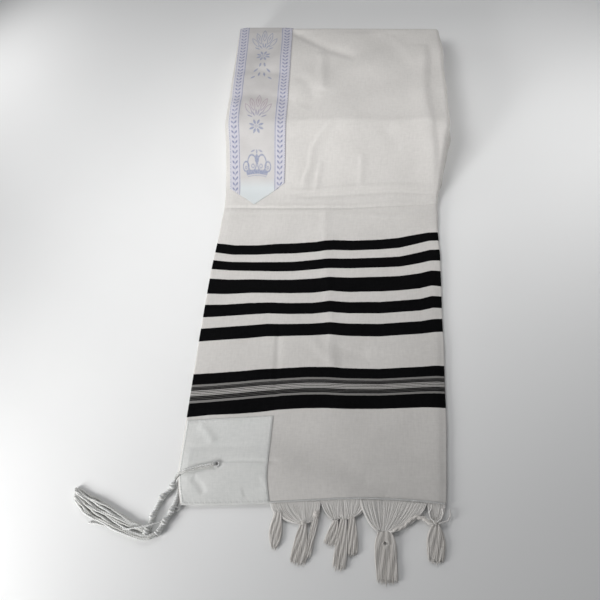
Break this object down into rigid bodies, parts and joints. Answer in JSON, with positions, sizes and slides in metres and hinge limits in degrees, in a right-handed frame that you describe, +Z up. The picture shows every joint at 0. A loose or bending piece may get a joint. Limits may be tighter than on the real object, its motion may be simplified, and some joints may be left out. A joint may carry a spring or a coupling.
{
  "type": "tallit prayer shawl",
  "caption": "Off-white woven prayer shawl with black stripes, folded lengthwise and laid flat, its far half folded under; brocade neckband, eyelet corner with knotted tassels, fringed hem.",
  "frame": {"origin": "centre of the flat underside, on the table", "axes": "+Z up from the table; +Y along the shawl from its fringed hem to the far fold; +X across to the lengthwise fold"},
  "size_m": [0.4509, 0.8437, 0.0448],
  "materials": {
    "cloth": "matt plain weave, off-white with black woven stripes",
    "inner_layers": "matt plain weave, off-white",
    "brocade": "silvery white brocade with pale lilac figures",
    "patch": "smooth white satin weave",
    "thread": "undyed twisted thread"
  },
  "bodies": {
    "root": {"cloth_top_ply": "cloth", "cloth_hidden_layers": "inner_layers", "neckband": "brocade", "corner_patch": "patch", "corner_tassel_upper": "thread", "corner_tassel_lower": "thread", "fringe_tassel_1": "thread", "fringe_tassel_2": "thread", "fringe_tassel_3": "thread", "fringe_tassel_4": "thread", "fringe_tassel_5": "thread", "fringe_tassel_6": "thread", "fringe_tassel_7": "thread", "fringe_tassel_8": "thread"}
  },
  "joints": []
}
